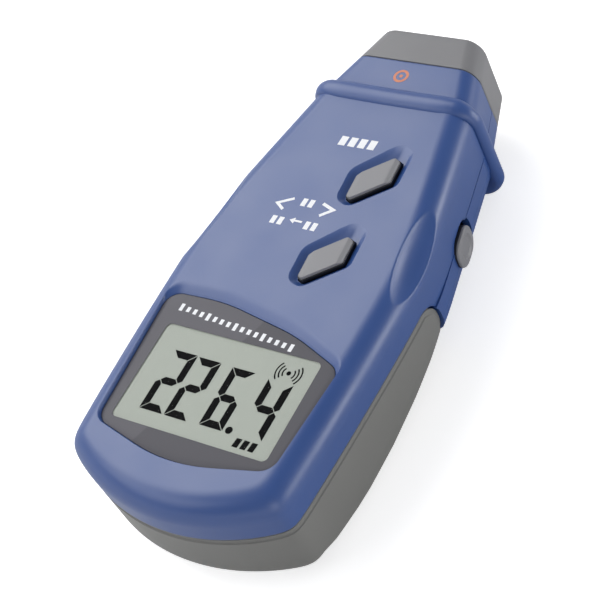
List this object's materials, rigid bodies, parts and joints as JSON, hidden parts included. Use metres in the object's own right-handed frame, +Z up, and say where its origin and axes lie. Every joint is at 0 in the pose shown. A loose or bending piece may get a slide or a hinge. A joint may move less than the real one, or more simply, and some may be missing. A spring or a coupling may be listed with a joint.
{
  "type": "laser tachometer",
  "caption": "Hand-held laser tachometer: tapering blue case with a leaning display window, hexagonal face keys, a side key, a guard collar at the neck and a slide-off battery cover.",
  "frame": {"origin": "on the surface the meter lies on, under the middle of its length and width", "axes": "+Z up out of the display, +Y toward the nose that points at the target, +X toward the side key"},
  "size_m": [0.072, 0.16, 0.0371],
  "materials": {
    "blue_plastic": "satin moulded, fine grain",
    "grey_plastic": "satin moulded",
    "black_plastic": "satin moulded",
    "key_grey": "satin moulded",
    "window_plate": "clear, with a printed dark grey border",
    "display": "grey-green reflective display",
    "holder_white": "plain",
    "elastomer": "striped elastomer",
    "board_green": "green solder mask",
    "steel": "bright plated",
    "chip_black": "moulded resin",
    "can_metal": "drawn can",
    "capacitor_sleeve": "printed sleeve",
    "filter_red": "dark red filter",
    "lens_clear": "clear moulded lens",
    "brass": "turned",
    "battery_can": "wrapped metal can",
    "foam": "closed-cell foam",
    "lead_red": "soft insulation",
    "lead_black": "soft insulation",
    "lead_yellow": "soft insulation"
  },
  "bodies": {
    "base": {"front_case": "blue_plastic", "rear_case": "blue_plastic", "nose_cap": "grey_plastic", "nose_window": "filter_red", "collar_ring": "blue_plastic", "display_window": "window_plate", "lcd_glass": "display", "lcd_holder": "holder_white", "contact_strips": "elastomer", "main_board": "board_green", "board_screws": "steel", "controller_chip": "chip_black", "small_chips": "chip_black", "crystal": "can_metal", "capacitors": "capacitor_sleeve", "key_switches": "chip_black", "side_switch": "chip_black", "side_switch_board": "board_green", "optics_holder": "black_plastic", "locating_pins": "steel", "receiver_lens": "lens_clear", "sensor_board": "board_green", "photodiode": "chip_black", "laser_barrel": "brass", "laser_lens": "lens_clear", "battery": "battery_can", "battery_clip": "black_plastic", "battery_lead_positive": "lead_red", "battery_lead_negative": "lead_black", "laser_leads": "lead_red", "sensor_leads": "lead_yellow", "case_screws": "steel"},
    "upper_key": {"upper_key": "black_plastic", "upper_key_cap": "key_grey"},
    "lower_key": {"lower_key": "black_plastic", "lower_key_cap": "key_grey"},
    "side_key": {"side_key": "grey_plastic"},
    "battery_cover": {"battery_cover": "grey_plastic", "battery_pad": "foam"}
  },
  "joints": [
    {"name": "upper_key_press", "type": "slide", "parent": "base", "child": "upper_key", "axis": [0, 0, -1], "range_m": [0, 0.0006], "stiffness_N_per_m": 800},
    {"name": "lower_key_press", "type": "slide", "parent": "base", "child": "lower_key", "axis": [0, 0, -1], "range_m": [0, 0.0006], "stiffness_N_per_m": 800},
    {"name": "side_key_press", "type": "slide", "parent": "base", "child": "side_key", "axis": [-0.9789, -0.2045, 0], "range_m": [0, 0.001], "stiffness_N_per_m": 800},
    {"name": "battery_cover_slide", "type": "slide", "parent": "base", "child": "battery_cover", "axis": [0, -1, 0], "range_m": [0, 0.09]}
  ]
}
